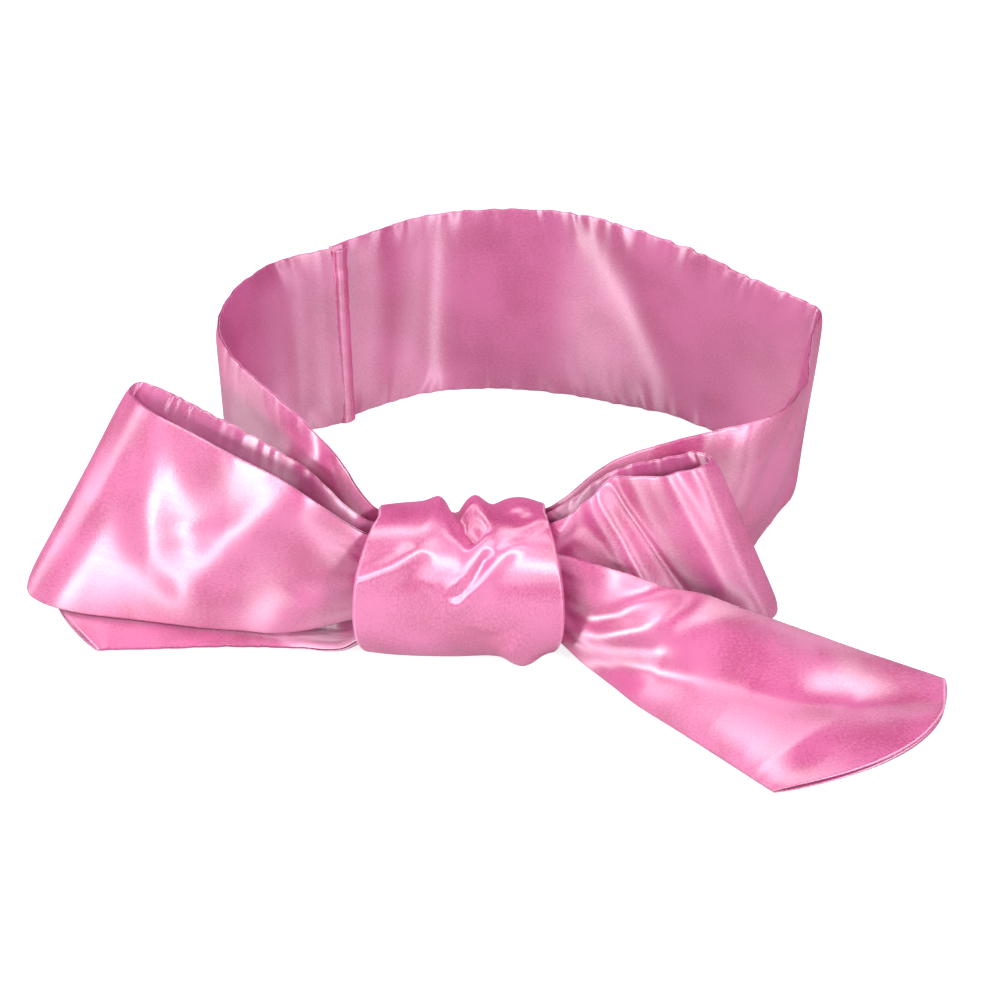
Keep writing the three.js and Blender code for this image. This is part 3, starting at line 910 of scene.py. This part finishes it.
def satin_material(name, face, deep):
    material, tree, shader = new_material(name)
    link = tree.links.new
    cloth = tree.nodes.new("ShaderNodeTexCoord")
    weave = tree.nodes.new("ShaderNodeGroup")
    weave.node_tree = satin_weave_group()
    weave.inputs["Roughness"].default_value = SATIN_ROUGHNESS
    link(cloth.outputs["UV"], weave.inputs["Cloth"])
    ramp = tree.nodes.new("ShaderNodeValToRGB")
    ramp.color_ramp.elements[0].position = 0.74
    ramp.color_ramp.elements[1].position = 0.98
    ramp.color_ramp.elements[0].color = (*deep, 1)
    ramp.color_ramp.elements[1].color = (*face, 1)
    link(weave.outputs["Shade"], ramp.inputs["Fac"])
    link(ramp.outputs["Color"], shader.inputs["Base Color"])
    link(weave.outputs["Roughness"], shader.inputs["Roughness"])
    bump = tree.nodes.new("ShaderNodeBump")
    bump.inputs["Strength"].default_value = 0.35
    bump.inputs["Distance"].default_value = 0.0001
    link(weave.outputs["Height"], bump.inputs["Height"])
    link(bump.outputs["Normal"], shader.inputs["Normal"])
    threads = tree.nodes.new("ShaderNodeTangent")
    threads.direction_type = "UV_MAP"
    threads.uv_map = "cloth"
    link(threads.outputs["Tangent"], shader.inputs["Tangent"])
    shader.inputs["Anisotropic"].default_value = 0.93
    shader.inputs["Anisotropic Rotation"].default_value = 0.25
    shader.inputs["IOR"].default_value = 3.0
    shader.inputs["Specular Tint"].default_value = (1.0, 0.95, 1.0, 1.0)
    shader.inputs["Sheen Weight"].default_value = 0.05
    shader.inputs["Sheen Roughness"].default_value = 0.4
    shader.inputs["Sheen Tint"].default_value = (1.0, 0.85, 0.93, 1.0)
    return material


def thread_material(name, colour):
    material, tree, shader = new_material(name)
    link = tree.links.new
    cloth = tree.nodes.new("ShaderNodeTexCoord")
    wave = tree.nodes.new("ShaderNodeTexWave")
    wave.inputs["Scale"].default_value = 380.0
    wave.bands_direction = "DIAGONAL"
    link(cloth.outputs["UV"], wave.inputs["Vector"])
    ramp = tree.nodes.new("ShaderNodeValToRGB")
    ramp.color_ramp.elements[0].color = (*[c * 0.55 for c in colour], 1)
    ramp.color_ramp.elements[1].color = (*colour, 1)
    link(wave.outputs["Fac"], ramp.inputs["Fac"])
    link(ramp.outputs["Color"], shader.inputs["Base Color"])
    bump = tree.nodes.new("ShaderNodeBump")
    bump.inputs["Strength"].default_value = 0.5
    bump.inputs["Distance"].default_value = 0.0002
    link(wave.outputs["Fac"], bump.inputs["Height"])
    link(bump.outputs["Normal"], shader.inputs["Normal"])
    shader.inputs["Roughness"].default_value = 0.6
    return material


def table_material(name, colour):
    material, tree, shader = new_material(name)
    shader.inputs["Base Color"].default_value = (*colour, 1)
    shader.inputs["Roughness"].default_value = 0.9
    shader.inputs["Specular IOR Level"].default_value = 0.1
    shader.inputs["Emission Color"].default_value = (1, 1, 1, 1)
    seen = tree.nodes.new("ShaderNodeLightPath")
    glow = tree.nodes.new("ShaderNodeMath")
    glow.operation = "MULTIPLY"
    glow.inputs[1].default_value = 0.8
    tree.links.new(seen.outputs["Is Camera Ray"], glow.inputs[0])
    tree.links.new(glow.outputs[0], shader.inputs["Emission Strength"])
    return material


# ---- stage ----
def set_table():
    shape = bmesh.new()
    bmesh.ops.create_grid(shape, x_segments=1, y_segments=1, size=6.0)
    mesh = bpy.data.meshes.new("table")
    shape.to_mesh(mesh)
    shape.free()
    table = place_piece("table", mesh, bpy.data.materials["plain table"])


def soft_light(name, spot, aim, size, power):
    lamp = bpy.data.lights.new(name, "AREA")
    lamp.shape = "RECTANGLE"
    lamp.size, lamp.size_y = size
    lamp.energy = power
    light = bpy.data.objects.new(name, lamp)
    light.location = Vector(spot)
    light.rotation_euler = (Vector(aim) - Vector(spot)).to_track_quat("-Z", "Y").to_euler()
    bpy.context.scene.collection.objects.link(light)


LIGHTS = [
    # name, direction from the mask, distance, size, watts
    ("right softbox", (0.47, -0.72, 0.50), 1.3, (0.18, 0.28), 9.0),
    ("high right softbox", (0.76, -0.36, 0.54), 1.3, (0.16, 0.36), 5.0),
    ("left softbox", (-0.50, -0.50, 0.70), 1.3, (0.20, 0.28), 6.5),
    ("low left softbox", (-0.72, -0.62, 0.34), 1.3, (0.18, 0.26), 7.5),
    ("far left softbox", (-0.90, 0.32, 0.30), 1.3, (0.30, 0.40), 3.5),
    ("high left softbox", (-0.45, 0.35, 0.82), 1.3, (0.30, 0.30), 5.0),
    ("overhead softbox", (0.05, -0.02, 1.0), 1.3, (0.36, 0.22), 3.0),
]
ROOM_GLOW = 0.21


def set_lights(scene):
    middle = Vector(HOME) + Vector((0, 0, 0.04))
    for name, way, distance, size, power in LIGHTS:
        soft_light(name, middle + Vector(way).normalized() * distance, middle, size, power)
    world = bpy.data.worlds.new("pale room")
    world.use_nodes = True
    tree = world.node_tree
    room = tree.nodes["Background"]
    seen = tree.nodes.new("ShaderNodeLightPath")
    glow = tree.nodes.new("ShaderNodeMapRange")
    glow.inputs["To Min"].default_value = ROOM_GLOW
    glow.inputs["To Max"].default_value = 1.0
    tree.links.new(seen.outputs["Is Camera Ray"], glow.inputs["Value"])
    tree.links.new(glow.outputs[0], room.inputs["Strength"])
    room.inputs["Color"].default_value = (1, 1, 1, 1)
    scene.world = world
    scene.view_settings.view_transform = "Standard"


CAMERA_RISE = math.radians(34)
CAMERA_DISTANCE = 0.946
CAMERA_LENS = 102.96          # millimetres
HALF_SASH = SASH_WIDTH * MM / 2


def set_camera(scene):
    target = Vector(HOME) + Vector((0, 0, HALF_SASH))
    lens = bpy.data.cameras.new("camera")
    lens.lens = CAMERA_LENS
    lens.sensor_width = 36.0
    camera = bpy.data.objects.new("camera", lens)
    back = Vector((0, -math.cos(CAMERA_RISE), math.sin(CAMERA_RISE)))
    camera.location = target + back * CAMERA_DISTANCE
    camera.rotation_euler = (math.radians(90) - CAMERA_RISE, 0, 0)
    scene.collection.objects.link(camera)
    scene.camera = camera


# ---- registration ----
CLASSES = (SashSizes, SatinColours, *STEPS, SASH_PT_panel)


def register():
    for cls in CLASSES:
        bpy.utils.register_class(cls)
    bpy.types.Scene.sash_sizes = bpy.props.PointerProperty(type=SashSizes)
    bpy.types.Scene.satin_colours = bpy.props.PointerProperty(type=SatinColours)


def unregister():
    del bpy.types.Scene.satin_colours
    del bpy.types.Scene.sash_sizes
    for cls in reversed(CLASSES):
        bpy.utils.unregister_class(cls)


def main():
    register()
    for step in STEPS:
        family, action = step.bl_idname.split(".")
        getattr(getattr(bpy.ops, family), action)()


if __name__ == "__main__":
    main()
